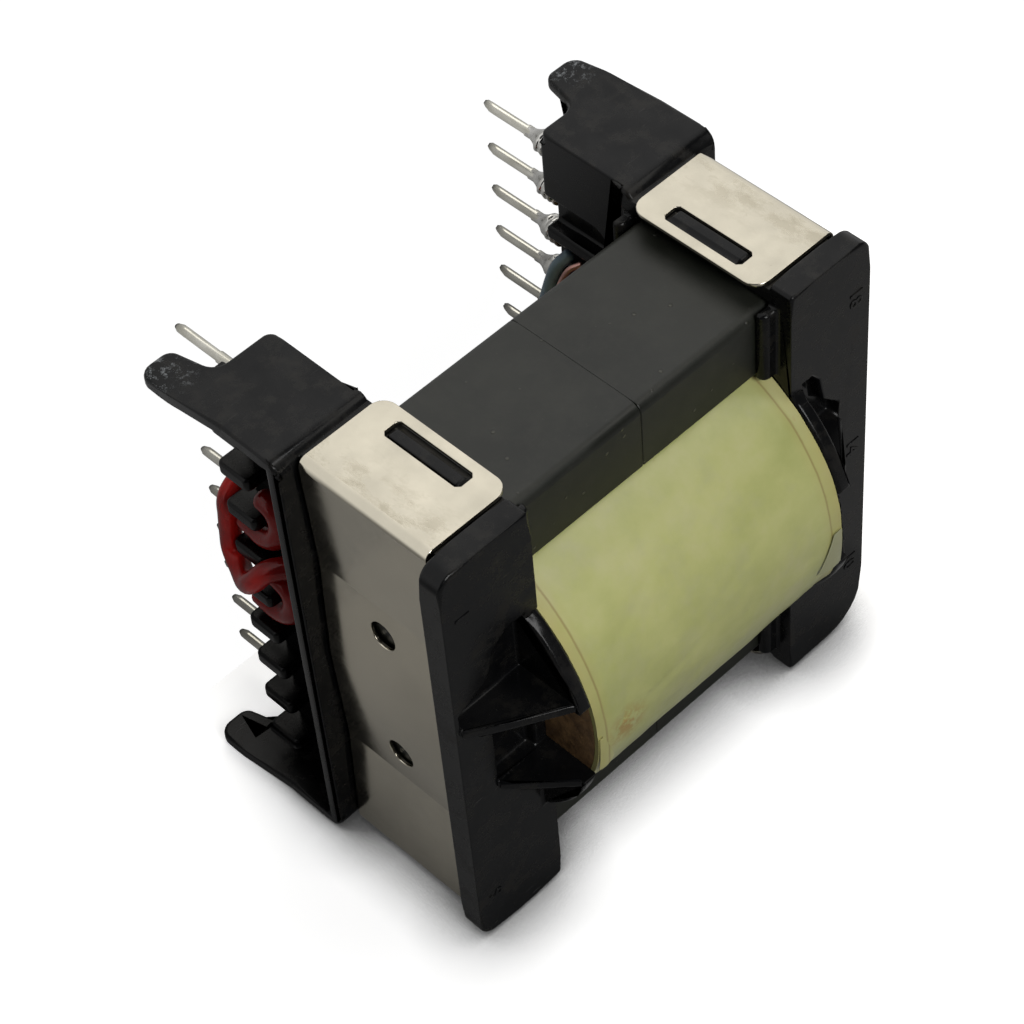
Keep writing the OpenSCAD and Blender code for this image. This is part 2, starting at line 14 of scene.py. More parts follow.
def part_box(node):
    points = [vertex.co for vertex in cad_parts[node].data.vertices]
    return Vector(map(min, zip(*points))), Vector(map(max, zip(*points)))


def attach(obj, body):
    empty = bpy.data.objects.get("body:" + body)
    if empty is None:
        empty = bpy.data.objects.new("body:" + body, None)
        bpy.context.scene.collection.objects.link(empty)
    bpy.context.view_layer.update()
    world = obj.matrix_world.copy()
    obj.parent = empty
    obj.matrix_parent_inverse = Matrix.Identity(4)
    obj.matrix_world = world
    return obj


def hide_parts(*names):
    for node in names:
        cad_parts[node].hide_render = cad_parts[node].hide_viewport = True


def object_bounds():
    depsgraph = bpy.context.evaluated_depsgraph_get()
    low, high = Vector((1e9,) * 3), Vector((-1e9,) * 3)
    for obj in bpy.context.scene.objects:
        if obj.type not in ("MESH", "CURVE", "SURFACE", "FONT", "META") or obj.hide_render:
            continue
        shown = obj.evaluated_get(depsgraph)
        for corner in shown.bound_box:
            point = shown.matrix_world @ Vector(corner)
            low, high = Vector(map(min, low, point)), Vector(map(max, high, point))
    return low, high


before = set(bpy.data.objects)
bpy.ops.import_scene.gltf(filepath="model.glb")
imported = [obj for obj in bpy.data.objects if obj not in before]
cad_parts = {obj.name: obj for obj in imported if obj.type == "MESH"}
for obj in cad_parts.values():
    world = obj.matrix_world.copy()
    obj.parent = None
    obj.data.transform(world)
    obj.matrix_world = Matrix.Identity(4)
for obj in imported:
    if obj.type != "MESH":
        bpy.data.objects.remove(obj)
cad_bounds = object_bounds()

MM = 0.001
BODY = "root"

# ---- places worked out from the frame ----

tape_low, tape_high = (Vector(corner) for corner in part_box("outer_tape"))
core_high = Vector(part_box("core_half_left")[1])
AXIS_Z = (tape_low.z + tape_high.z) / 2
TAPE_R = (tape_high.z - tape_low.z) / 2
TAPE_HALF = tape_high.x
WALL_Z = AXIS_Z + 9.95 * MM

# In millimetres: where a clip's tab ends and its panel starts, the panel's fold and bow, the brown tape line
TAB_X = 22.2
PANEL_X = 22.35
FOLD_Y = 11.5
PANEL_RISE = 0.45
SEAM_X = 13.65


def pin_place(number):
    """Middle of a pin in X and Y, and the height of its tip."""
    low, high = (Vector(corner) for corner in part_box(f"pin_{number:02d}"))
    middle = (low + high) / 2
    return Vector((middle.x, middle.y, low.z))


# ---- camera, floor and light ----

CAMERA_AT = Vector((-0.1166, 0.2069, 0.1505))
CAMERA_TO = Vector((-0.0032, 0.0017, 0.0178))
CAMERA_UP = Vector((0.568, 0.645, -0.511))
LENS = 111.4


def aimed(place, target, up):
    """A matrix at place that looks at target, with up upright in the view."""
    back = (place - target).normalized()
    right = up.cross(back).normalized()
    turn = Matrix((right, back.cross(right), back)).transposed()
    return Matrix.Translation(place) @ turn.to_4x4()


def add_camera():
    data = bpy.data.cameras.new("camera")
    data.lens = LENS
    data.clip_start = 0.01
    camera = bpy.data.objects.new("camera", data)
    camera.matrix_world = aimed(CAMERA_AT, CAMERA_TO, CAMERA_UP)
    bpy.context.scene.collection.objects.link(camera)
    bpy.context.scene.camera = camera


def add_area_light(name, place, target, size, power, colour):
    data = bpy.data.lights.new(name, "AREA")
    data.shape = "RECTANGLE"
    data.size, data.size_y = size
    data.energy = power
    data.color = colour
    light = bpy.data.objects.new(name, data)
    light.matrix_world = aimed(Vector(place), Vector(target), Vector((0.1, 0.2, 1)))
    bpy.context.scene.collection.objects.link(light)


# ---- node tools ----

def add(tree, kind, inputs=None, **settings):
    """Adds a node; an input is a plain value or another node's output."""
    node = tree.nodes.new(kind)
    for key, value in settings.items():
        setattr(node, key, value)
    for key, value in (inputs or {}).items():
        if isinstance(value, bpy.types.NodeSocket):
            tree.links.new(value, node.inputs[key])
        else:
            node.inputs[key].default_value = value
    return node


def ramp(tree, value, stops):
    """A colour ramp; each stop is a place and a grey level or a colour."""
    node = add(tree, "ShaderNodeValToRGB", {"Fac": value})
    elements = node.color_ramp.elements
    while len(elements) < len(stops):
        elements.new(0.5)
    for element, (place, level) in zip(elements, stops):
        element.position = place
        element.color = (level, level, level, 1) if isinstance(level, (int, float)) else (*level, 1)
    return node.outputs["Color"]


def mix(tree, factor, first, second, blend="MIX"):
    node = add(tree, "ShaderNodeMix", data_type="RGBA", blend_type=blend)
    for socket, value in ((0, factor), (6, first), (7, second)):
        if isinstance(value, bpy.types.NodeSocket):
            tree.links.new(value, node.inputs[socket])
        elif isinstance(value, tuple):
            node.inputs[socket].default_value = (*value, 1)
        else:
            node.inputs[socket].default_value = value
    return node.outputs[2]


def math_node(tree, operation, first, second=0.0):
    return add(tree, "ShaderNodeMath", {0: first, 1: second}, operation=operation).outputs[0]


def fade(tree, value, start, end, low=0.0, high=1.0):
    """Low up to start, high from end on, with a straight slope between them."""
    return add(tree, "ShaderNodeMapRange", {"Value": value, "From Min": start, "From Max": end,
                                            "To Min": low, "To Max": high}).outputs[0]


def axes(tree, coords):
    return add(tree, "ShaderNodeSeparateXYZ", {0: coords}).outputs


def object_coords(tree, scale=(1, 1, 1), turn=(0, 0, 0)):
    """Object coordinates in millimetres, stretched by scale."""
    place = add(tree, "ShaderNodeTexCoord").outputs["Object"]
    factors = tuple(1000 * part for part in scale)
    return add(tree, "ShaderNodeMapping", {"Vector": place, "Scale": factors, "Rotation": turn}).outputs[0]


def speckle(tree, coords, scale, detail=4.0, rough=0.5):
    return add(tree, "ShaderNodeTexNoise",
               {"Vector": coords, "Scale": scale, "Detail": detail, "Roughness": rough}).outputs["Fac"]


def bump(tree, height, strength, distance_mm, under=None):
    inputs = {"Height": height, "Strength": strength, "Distance": distance_mm * MM}
    if under is not None:
        inputs["Normal"] = under
    return add(tree, "ShaderNodeBump", inputs).outputs[0]


def new_material(name, **fixed):
    """A material with a Principled shader, and its tree and shader."""
    material = bpy.data.materials.new(name)
    material.use_nodes = True
    shader = material.node_tree.nodes["Principled BSDF"]
    for key, value in fixed.items():
        socket = key.replace("_", " ").title().replace("Ior", "IOR")
        shader.inputs[socket].default_value = value
    return material, material.node_tree, shader


def feed(tree, shader, **sources):
    for key, value in sources.items():
        tree.links.new(value, shader.inputs[key.replace("_", " ").title()])


def new_group(name, inputs, outputs):
    """A node group with named sockets: Vector, Centre and Normal are vectors, the others plain values."""
    group = bpy.data.node_groups.new(name, "ShaderNodeTree")
    for way, sockets in (("INPUT", inputs), ("OUTPUT", outputs)):
        for socket in sockets:
            kind = "NodeSocketVector" if socket in ("Vector", "Centre", "Normal") else "NodeSocketFloat"
            group.interface.new_socket(socket, in_out=way, socket_type=kind)
    return group, group.nodes.new("NodeGroupInput").outputs, group.nodes.new("NodeGroupOutput").inputs


def scratch_group():
    """Thin straight scratches as a mask from 0 to 1."""
    group, given, out = new_group("scratches", ("Vector",), ("Mask",))
    mask = None
    for turn, stretch, threshold in (((0.2, 0.5, 0.4), 9.0, 0.74), ((0.9, -0.3, 1.3), 7.0, 0.76)):
        placed = add(group, "ShaderNodeMapping", {"Vector": given["Vector"], "Rotation": turn,
                                                  "Scale": (0.35, stretch, stretch)}).outputs[0]
        thin = fade(group, speckle(group, placed, 1.0, 1.0), threshold, 0.8)
        mask = thin if mask is None else math_node(group, "MAXIMUM", mask, thin)
    patches = ramp(group, speckle(group, given["Vector"], 0.22, 2.0), [(0.5, 0.0), (0.65, 1.0)])
    group.links.new(math_node(group, "MULTIPLY", mask, patches), out["Mask"])
    return group


def patch_group():
    """Patches of noise as a mask: dust, smears, rubbed places and stains."""
    group, given, out = new_group("patches", ("Vector", "Scale", "Detail", "Roughness", "Start", "Full",
                                              "Amount"), ("Mask",))
    cloud = speckle(group, given["Vector"], given["Scale"], given["Detail"], given["Roughness"])
    group.links.new(fade(group, cloud, given["Start"], given["Full"], 0.0, given["Amount"]), out["Mask"])
    return group


def spot_group():
    """A mask that is 1 within Inner of Centre and 0 beyond Outer."""
    group, given, out = new_group("spot", ("Vector", "Centre", "Inner", "Outer"), ("Mask",))
    reach = add(group, "ShaderNodeVectorMath", {0: given["Vector"], 1: given["Centre"]},
                operation="DISTANCE").outputs["Value"]
    group.links.new(fade(group, reach, given["Inner"], given["Outer"], 1.0, 0.0), out["Mask"])
    return group


def grain_group():
    """Fine grain of a surface: its height from 0 to 1, and the normal that it gives."""
    group, given, out = new_group("grain", ("Vector", "Scale", "Detail", "Roughness", "Strength", "Distance",
                                            "Normal"), ("Height", "Normal"))
    height = speckle(group, given["Vector"], given["Scale"], given["Detail"], given["Roughness"])
    bumped = add(group, "ShaderNodeBump", {"Height": height, "Strength": given["Strength"],
                                           "Distance": given["Distance"], "Normal": given["Normal"]})
    group.links.new(height, out["Height"])
    group.links.new(bumped.outputs[0], out["Normal"])
    return group


SCRATCHES = scratch_group()
PATCHES = patch_group()
SPOT = spot_group()
GRAIN = grain_group()


def scratches(tree, coords):
    return add(tree, "ShaderNodeGroup", {"Vector": coords}, node_tree=SCRATCHES).outputs["Mask"]


def patches_of(tree, coords, cloud, span, amount=1.0):
    """Patches: their scale, detail and roughness, and the levels of noise where they start and are full."""
    inputs = dict(zip(("Scale", "Detail", "Roughness", "Start", "Full"), (*cloud, *span)))
    return add(tree, "ShaderNodeGroup", {"Vector": coords, "Amount": amount, **inputs},
               node_tree=PATCHES).outputs["Mask"]


def spot(tree, coords, centre_mm, inner_mm, outer_mm):
    return add(tree, "ShaderNodeGroup", {"Vector": coords, "Centre": centre_mm, "Inner": inner_mm,
                                         "Outer": outer_mm}, node_tree=SPOT).outputs["Mask"]


def grained(tree, coords, cloud, strength, distance_mm, under=None):
    """Grain with its scale, detail and roughness; it gives the height and the normal."""
    if under is None:
        under = add(tree, "ShaderNodeNewGeometry").outputs["Normal"]
    inputs = dict(zip(("Scale", "Detail", "Roughness"), cloud))
    node = add(tree, "ShaderNodeGroup", {"Vector": coords, "Strength": strength, "Distance": distance_mm * MM,
                                         "Normal": under, **inputs}, node_tree=GRAIN)
    return node.outputs["Height"], node.outputs["Normal"]


# ---- materials ----

def black_plastic():
    """Moulded black, half gloss: smears, dust, fine scratches, and scuffed tips on two feet."""
    material, tree, shader = new_material("moulded_black", specular_ior_level=0.17)
    coords = object_coords(tree)
    cloud = speckle(tree, coords, 0.3, 5.0, 0.6)
    lines = scratches(tree, coords)
    base = ramp(tree, cloud, [(0.35, (0.0028, 0.003, 0.0034)), (0.7, (0.006, 0.006, 0.0062))])
    smear = patches_of(tree, coords, (0.5, 6.0, 0.65), (0.5, 0.74), 0.75)
    dirty = mix(tree, smear, base, (0.016, 0.0145, 0.012))
    dust = patches_of(tree, coords, (4.2, 3.0, 0.8), (0.7, 0.76), 0.7)
    dusty = mix(tree, dust, dirty, (0.06, 0.057, 0.05))
    worn = mix(tree, math_node(tree, "MULTIPLY", lines, 0.35), dusty, (0.12, 0.12, 0.115))
    scuffs = patches_of(tree, coords, (1.6, 5.0, 0.8), (0.54, 0.64))
    tips = math_node(tree, "MAXIMUM", spot(tree, coords, (-24.0, 24.5, 1.2), 1.2, 3.6),
                     spot(tree, coords, (22.4, 24.5, 0.8), 1.0, 3.0))
    scuffs = math_node(tree, "MULTIPLY", scuffs, tips)
    worn = mix(tree, scuffs, worn, (0.19, 0.2, 0.21))
    rough = ramp(tree, cloud, [(0.3, 0.14), (0.7, 0.3)])
    rough = mix(tree, math_node(tree, "MAXIMUM", dust, smear), rough, (0.5, 0.5, 0.5))
    _, normal = grained(tree, coords, (7.0, 3.0, 0.7), 0.1, 0.03)
    normal = bump(tree, lines, 0.2, 0.04, normal)
    normal = bump(tree, scuffs, 0.6, 0.15, normal)
    feed(tree, shader, base_color=worn, roughness=rough, normal=normal)
    return material


def ferrite():
    """Sintered ferrite: dark olive grey, ground smooth, with small pits, pale dust and a painted highlight on
    its top edges.
    """
    material, tree, shader = new_material("ferrite_grey", specular_ior_level=0.3)
    coords = object_coords(tree)
    cloud = speckle(tree, coords, 0.12, 5.0, 0.55)
    grain, normal = grained(tree, coords, (6.0, 4.0, 0.7), 0.1, 0.04)
    cells = add(tree, "ShaderNodeTexVoronoi", {"Vector": coords, "Scale": 0.5, "Randomness": 1.0}).outputs
    pits = ramp(tree, cells["Distance"], [(0.05, 1.0), (0.1, 0.0)])
    base = ramp(tree, cloud, [(0.3, (0.0075, 0.0083, 0.006)), (0.7, (0.0125, 0.0135, 0.01))])
    dust = patches_of(tree, coords, (3.2, 4.0, 0.8), (0.66, 0.74), 0.5)
    base = mix(tree, dust, base, (0.05, 0.05, 0.04))
    rubbed = patches_of(tree, coords, (0.4, 5.0, 0.7), (0.45, 0.75), 0.6)
    base = mix(tree, rubbed, base, (0.019, 0.0195, 0.015))
    base = mix(tree, pits, base, (0.045, 0.045, 0.036))
    # Painted highlight: a pale, ragged line along the top long edges stands in for light caught on their bevel
    place = axes(tree, coords)
    inset = 0.05
    from_side = math_node(tree, "SUBTRACT", math_node(tree, "ABSOLUTE", place["Y"]), core_high.y / MM - inset)
    from_top = math_node(tree, "SUBTRACT", place["Z"], core_high.z / MM - inset)
    reach = math_node(tree, "SQRT", math_node(tree, "ADD", math_node(tree, "MULTIPLY", from_side, from_side),
                                              math_node(tree, "MULTIPLY", from_top, from_top)))
    reach = math_node(tree, "ADD", reach, math_node(tree, "MULTIPLY", grain, 0.12))
    base = mix(tree, fade(tree, reach, 0.14, 0.26, 1.0, 0.0), base, (0.17, 0.17, 0.145))
    rough = ramp(tree, cloud, [(0.3, 0.3), (0.7, 0.5)])
    normal = bump(tree, pits, 0.5, 0.12, normal)
    feed(tree, shader, base_color=base, roughness=rough, normal=normal)
    return material


def spring_steel():
    """Rolled strip: pale and satin, with brown smears by the bends and a softly bowed back panel."""
    material, tree, shader = new_material("spring_steel", metallic=1.0)
    coords = object_coords(tree)
    place = axes(tree, coords)
    from_middle = math_node(tree, "ABSOLUTE", place["X"])
    cloud = speckle(tree, coords, 0.25, 4.0, 0.6)
    lines = scratches(tree, coords)
    base = ramp(tree, cloud, [(0.3, (0.54, 0.5, 0.405)), (0.7, (0.61, 0.565, 0.46))])
    by_bend = fade(tree, from_middle, 17.5, 21.5)
    smears = patches_of(tree, object_coords(tree, (1.0, 1.0, 0.5)), (0.5, 6.0, 0.7), (0.47, 0.6), 0.75)
    on_tab = math_node(tree, "LESS_THAN", from_middle, TAB_X)
    smears = math_node(tree, "MULTIPLY", math_node(tree, "MULTIPLY", smears, by_bend), on_tab)
    base = mix(tree, smears, base, (0.34, 0.31, 0.24))
    specks = patches_of(tree, coords, (1.5, 3.0, 0.8), (0.7, 0.78), 0.5)
    base = mix(tree, specks, base, (0.25, 0.22, 0.16))
    base = mix(tree, math_node(tree, "MULTIPLY", lines, 0.2), base, (0.3, 0.28, 0.24))
    rough = ramp(tree, cloud, [(0.35, 0.12), (0.7, 0.22)])
    rough = mix(tree, smears, rough, (0.42, 0.42, 0.42))
    along = math_node(tree, "MULTIPLY", math_node(tree, "ABSOLUTE", place["Y"]), 1 / FOLD_Y)
    bow = math_node(tree, "SUBTRACT", along, math_node(tree, "MULTIPLY", along, along))
    bow = math_node(tree, "MAXIMUM", bow, 0.0)
    on_panel = math_node(tree, "GREATER_THAN", from_middle, PANEL_X)
    normal = bump(tree, math_node(tree, "MULTIPLY", bow, on_panel), 1.0, PANEL_RISE)
    _, normal = grained(tree, object_coords(tree, (0.3, 1.0, 9.0)), (2.0, 4.0, 0.6), 0.02, 0.01, normal)
    _, normal = grained(tree, coords, (9.0, 3.0, 0.7), 0.02, 0.01, normal)
    feed(tree, shader, base_color=base, roughness=rough, normal=normal)
    return material


def tinned_wire():
    """Hot-tinned pin: pale, slightly uneven, with dull patches."""
    material, tree, shader = new_material("tinned_pin", metallic=1.0)
    coords = object_coords(tree, (1, 1, 0.25))
    patches = speckle(tree, coords, 1.6, 4.0)
    base = ramp(tree, patches, [(0.35, (0.62, 0.6, 0.52)), (0.65, (0.82, 0.8, 0.72))])
    rough = ramp(tree, patches, [(0.3, 0.14), (0.7, 0.24)])
    feed(tree, shader, base_color=base, roughness=rough, normal=bump(tree, patches, 0.12, 0.03))
    return material


def solder():
    """Bright solder with dull bands, and amber flux left in its hollows."""
    material, tree, shader = new_material("solder_bright")
    coords = object_coords(tree)
    patches = speckle(tree, coords, 1.1, 3.0)
    flux = fade(tree, axes(tree, coords)["Z"], 3.2, 3.9)
    flux = math_node(tree, "MULTIPLY", flux, ramp(tree, patches, [(0.36, 0.0), (0.48, 0.95)]))
    base = ramp(tree, patches, [(0.35, (0.5, 0.49, 0.46)), (0.65, (0.68, 0.67, 0.64))])
    base = mix(tree, flux, base, (0.19, 0.09, 0.02))
    metal = math_node(tree, "SUBTRACT", 1.0, flux)
    rough = ramp(tree, patches, [(0.35, 0.06), (0.7, 0.2)])
    _, normal = grained(tree, coords, (2.4, 2.0, 0.5), 0.3, 0.12)
    feed(tree, shader, base_color=base, metallic=metal, roughness=rough, normal=normal)
    return material


def enamelled_copper():
    material, tree, shader = new_material("enamelled_copper", metallic=0.85, coat_weight=0.8,
                                          coat_roughness=0.12)
    coords = object_coords(tree)
    cloud = speckle(tree, coords, 0.8, 3.0)
    base = ramp(tree, cloud, [(0.35, (0.36, 0.15, 0.12)), (0.7, (0.52, 0.28, 0.23))])
    feed(tree, shader, base_color=base, roughness=ramp(tree, cloud, [(0.3, 0.25), (0.7, 0.4)]))
    return material


def yellow_tape(name, aged, tint=None):
    """Polyester tape: thin, pale yellow, browner at its ends, with a few stains."""
    material, tree, shader = new_material(name, ior=1.45, coat_weight=0.25, coat_roughness=0.22)
    coords = object_coords(tree)
    cloud = speckle(tree, coords, 0.14, 5.0, 0.6)
    creases = speckle(tree, object_coords(tree, (0.35, 1.0, 1.0), (0, 0, 0.5)), 0.4, 2.0)
    fine, normal = grained(tree, coords, (1.3, 6.0, 0.7), 0.06, 0.04, bump(tree, creases, 0.3, 0.4))
    base = ramp(tree, cloud, [(0.3, (0.38, 0.4, 0.14)), (0.55, (0.46, 0.47, 0.185)),
                              (0.75, (0.51, 0.5, 0.245))])
    grime = patches_of(tree, coords, (0.3, 6.0, 0.62), (0.5, 0.75), 0.35)
    base = mix(tree, grime, base, (0.4, 0.39, 0.25))
    wobble = math_node(tree, "MULTIPLY", math_node(tree, "SUBTRACT", cloud, 0.5), 0.5)
    out = math_node(tree, "ADD", math_node(tree, "ABSOLUTE", axes(tree, coords)["X"]), wobble)
    end = fade(tree, out, 12.6, 14.6)
    base = mix(tree, math_node(tree, "MULTIPLY", end, 0.6 * aged), base, (0.43, 0.36, 0.13))
    seam = math_node(tree, "ABSOLUTE", math_node(tree, "SUBTRACT", out, SEAM_X))
    seam = fade(tree, seam, 0.04, 0.16, 1.0, 0.0)
    base = mix(tree, math_node(tree, "MULTIPLY", seam, 0.7 * aged), base, (0.25, 0.17, 0.06))
    stain = math_node(tree, "MULTIPLY", spot(tree, coords, (-11.3, -1.0, 39.0), 0.6, 2.6),
                      ramp(tree, fine, [(0.44, 0.0), (0.54, 1.0)]))
    spots = patches_of(tree, coords, (0.75, 2.0, 0.5), (0.74, 0.78), 0.5)
    marks = math_node(tree, "MAXIMUM", math_node(tree, "MULTIPLY", stain, aged),
                      math_node(tree, "MULTIPLY", spots, 0.4))
    base = mix(tree, marks, base, (0.37, 0.22, 0.06))
    if tint is not None:
        base = mix(tree, 0.8, base, tint)
    feed(tree, shader, base_color=base, roughness=ramp(tree, fine, [(0.3, 0.3), (0.7, 0.44)]), normal=normal)
    return material


def margin_cloth():
    """Margin tape soaked in varnish: brown weave."""
    material, tree, shader = new_material("margin_cloth", coat_weight=0.5, coat_roughness=0.2)
    coords = object_coords(tree)
    weave = add(tree, "ShaderNodeTexWave",
                {"Vector": coords, "Scale": 2.2, "Distortion": 3.0, "Detail": 2.0}).outputs["Fac"]
    cloud = speckle(tree, coords, 0.7, 4.0)
    base = ramp(tree, cloud, [(0.35, (0.1, 0.052, 0.02)), (0.7, (0.3, 0.17, 0.07))])
    feed(tree, shader, base_color=base, roughness=ramp(tree, weave, [(0.2, 0.35), (0.8, 0.6)]),
         normal=bump(tree, weave, 0.4, 0.1))
    return material


def insulation(name, dark, light, rough):
    """Extruded wire insulation, with a little grime."""
    material, tree, shader = new_material(name, specular_ior_level=0.25, coat_weight=0.06,
                                          coat_roughness=0.06)
    coords = object_coords(tree)
    cloud = speckle(tree, coords, 0.5, 4.0)
    base = ramp(tree, cloud, [(0.35, dark), (0.65, light)])
    _, normal = grained(tree, coords, (2.0, 2.0, 0.5), 0.12, 0.08)
    feed(tree, shader, base_color=base, roughness=ramp(tree, cloud, [(0.3, rough), (0.7, rough + 0.15)]),
         normal=normal)
    return material


BLACK = black_plastic()
FERRITE = ferrite()
STEEL = spring_steel()
TINNED = tinned_wire()
SOLDER = solder()
COPPER = enamelled_copper()
TAPE = yellow_tape("tape_outer", 0.8)
CLEAR_TAPE = yellow_tape("tape_fold", 0.2, (0.3, 0.3, 0.19))
INNER_TAPE = yellow_tape("tape_inner", 0.4)
MARGIN = margin_cloth()
RED = insulation("insulation_red", (0.62, 0.012, 0.009), (0.8, 0.025, 0.018), 0.14)
SLEEVE = insulation("sleeve_blue", (0.3, 0.42, 0.52), (0.42, 0.55, 0.66), 0.3)

NODE_MATERIALS = {
    "coil_former": BLACK, "core_half_left": FERRITE, "core_half_right": FERRITE,
    "clip_left": STEEL, "clip_right": STEEL,
    "inner_winding": COPPER, "outer_winding": COPPER,
    "inner_tape": INNER_TAPE, "barrier_tape": INNER_TAPE, "outer_tape": TAPE,
    "margin_tape_left": MARGIN, "margin_tape_right": MARGIN,
    "red_lead_upper": RED, "red_lead_lower": RED, "sleeved_lead": SLEEVE,
    "enamelled_leads": COPPER, "solder_joints": SOLDER,
}


def dress(piece, material):
    piece.data.materials.clear()
    piece.data.materials.append(material)


for name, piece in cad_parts.items():
    dress(piece, NODE_MATERIALS.get(name, TINNED))
    piece.data.shade_smooth()
    piece.data.set_sharp_from_angle(angle=math.radians(30))


# ---- pieces made from CAD nodes ----

def add_piece(name, mesh, material, slot, *nodes):
    """Puts a finished mesh in the scene as a piece of the body."""
    piece = bpy.data.objects.new(name, mesh)
    bpy.context.scene.collection.objects.link(piece)
    dress(piece, material)
    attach(piece, BODY)
    if nodes:
        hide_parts(*nodes)
    return piece


def applied(name, piece):
    """The piece's mesh with its modifiers worked in; the piece itself is removed."""
    graph = bpy.context.evaluated_depsgraph_get()
    mesh = bpy.data.meshes.new_from_object(piece.evaluated_get(graph))
    mesh.name = name
    bpy.data.objects.remove(piece)
    return mesh


# Corners closer than MERGE are one; turns under FLAT go; edges over SHARP are rounded, and to no more than
# ROOM_SHARE of the room beside them; a neighbour whose way has a cosine over ALONG runs on in the same line
MERGE = 2e-6
FLAT = math.radians(0.6)
SHARP = math.radians(35)
ROOM_SHARE = 0.42
ALONG = 0.8
LARGEST_ROOM = 1.0


def room_beside(edge):
    """How far a rounding of this edge can reach before it meets a neighbouring edge."""
    start, end = (vert.co for vert in edge.verts)
    way = (end - start).normalized()
    room = LARGEST_ROOM
    for vert in edge.verts:
        for other in vert.link_edges:
            along = abs((other.verts[1].co - other.verts[0].co).normalized().dot(way))
            if other is not edge and along < ALONG:
                room = min(room, other.calc_length())
    for face in edge.link_faces:
        for vert in face.verts:
            offset = vert.co - start
            share = offset.dot(way) / edge.calc_length()
            if vert not in edge.verts and -0.02 < share < 1.02:
                room = min(room, (offset - offset.dot(way) * way).length)
    return room


def edged(node, name, width_mm, material, slot, segments=2):
    """A copy of a CAD node with its sharp edges rounded, in place of the node.

    A vertex that the rounding puts further than half its width off the CAD surface goes back onto it.
    """
    width = width_mm * MM
    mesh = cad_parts[node].data.copy()
    shape = bmesh.new()
    shape.from_mesh(mesh)
    bmesh.ops.remove_doubles(shape, verts=shape.verts, dist=MERGE)
    bmesh.ops.dissolve_limit(shape, angle_limit=FLAT, verts=shape.verts, edges=shape.edges)
    weights = shape.edges.layers.float.new("bevel_weight_edge")
    for edge in shape.edges:
        if len(edge.link_faces) == 2 and edge.calc_face_angle(0.0) > SHARP:
            edge[weights] = min(1.0, ROOM_SHARE * room_beside(edge) / width)
    shape.to_mesh(mesh)
    shape.free()
    rough = bpy.data.objects.new(name + "_rough", mesh)
    bpy.context.scene.collection.objects.link(rough)
    bevel = rough.modifiers.new("edges", "BEVEL")
    bevel.width = width
    bevel.segments = segments
    bevel.limit_method = "WEIGHT"
    bevel.use_clamp_overlap = False
    rough.modifiers.new("normals", "WEIGHTED_NORMAL").keep_sharp = True
    rough.data.shade_smooth()
    rounded = applied(name, rough)
    surface = BVHTree.FromPolygons([vert.co for vert in mesh.vertices],
                                   [face.vertices for face in mesh.polygons])
    for vert in rounded.vertices:
        nearest, _, _, stray = surface.find_nearest(vert.co)
        if stray > 0.5 * width:
            vert.co = nearest
    return add_piece(name, rounded, material, slot, node)


edged("coil_former", "former_moulding", 0.35, BLACK, "former", 3)
edged("core_half_left", "ferrite_left", 0.12, FERRITE, "ferrite")
edged("core_half_right", "ferrite_right", 0.12, FERRITE, "ferrite")
edged("clip_left", "spring_clip_left", 0.09, STEEL, "clip")
edged("clip_right", "spring_clip_right", 0.09, STEEL, "clip")


# ---- round wires and leads ----

def smooth_path(points, steps):
    """Points along a smooth curve through a row of guide points."""
    guides = [Vector(point) for point in points]
    last = len(guides) - 1
    path = []
    for i in range(last):
        a, b, c, d = guides[max(i - 1, 0)], guides[i], guides[i + 1], guides[min(i + 2, last)]
        for s in range(steps):
            t = s / steps
            path.append(0.5 * (2 * b + (c - a) * t + (2 * a - 5 * b + 4 * c - d) * t * t
                               + (3 * b - a - 3 * c + d) * t ** 3))
    return path + [guides[-1]]


def bridge(shape, rings, closed=False):
    """Faces from each ring of points to the next, and either back to the first or over both ends."""
    sides = len(rings[0])
    for first, second in zip(rings, rings[1:] + rings[:1] if closed else rings[1:]):
        for k in range(sides):
            shape.faces.new((first[k], first[(k + 1) % sides], second[(k + 1) % sides], second[k]))
    if not closed:
        shape.faces.new(list(reversed(rings[0])))
        shape.faces.new(rings[-1])


DOME = ((1.0, 0.35), (0.75, 0.7), (0.35, 0.93))


def add_tube(shape, path, radius, sides=20):
    """A round tube along a path, closed by a small dome at each end."""
    count = len(path)
    ways = [(path[min(i + 1, count - 1)] - path[max(i - 1, 0)]).normalized() for i in range(count)]
    side = ways[0].cross(Vector((0.3, 0.2, 0.93))).normalized()
    domed = 0.6
    stations = [(path[0] - ways[0] * domed * radius * out, ways[0], radius * keep) for out, keep in DOME]
    stations += [(path[i], ways[i], radius) for i in range(count)]
    stations += [(path[-1] + ways[-1] * domed * radius * out, ways[-1], radius * keep)
                 for out, keep in reversed(DOME)]
    rings = []
    for centre, way, wide in stations:
        side = (side - side.dot(way) * way).normalized()
        other = way.cross(side)
        rings.append([shape.verts.new(centre + wide * (math.cos(turn) * side + math.sin(turn) * other))
                      for turn in (2 * math.pi * k / sides for k in range(sides))])
    bridge(shape, rings)


def add_turned(shape, centre, profile, sides=28):
    """A solid of revolution about an upright axis; the profile runs from its foot to its top."""
    rings = [[shape.verts.new(centre + Vector((wide * math.cos(turn), wide * math.sin(turn), height)))
              for turn in (2 * math.pi * k / sides for k in range(sides))] for wide, height in profile]
    bridge(shape, rings)


def shape_in_mm(name, shape):
    """Turns a shape drawn in millimetres into a smooth mesh in metres."""
    shape.transform(Matrix.Scale(MM, 4))
    bmesh.ops.recalc_face_normals(shape, faces=shape.faces)
    mesh = bpy.data.meshes.new(name)
    shape.to_mesh(mesh)
    shape.free()
    mesh.shade_smooth()
    mesh.set_sharp_from_angle(angle=math.radians(50))
    return mesh


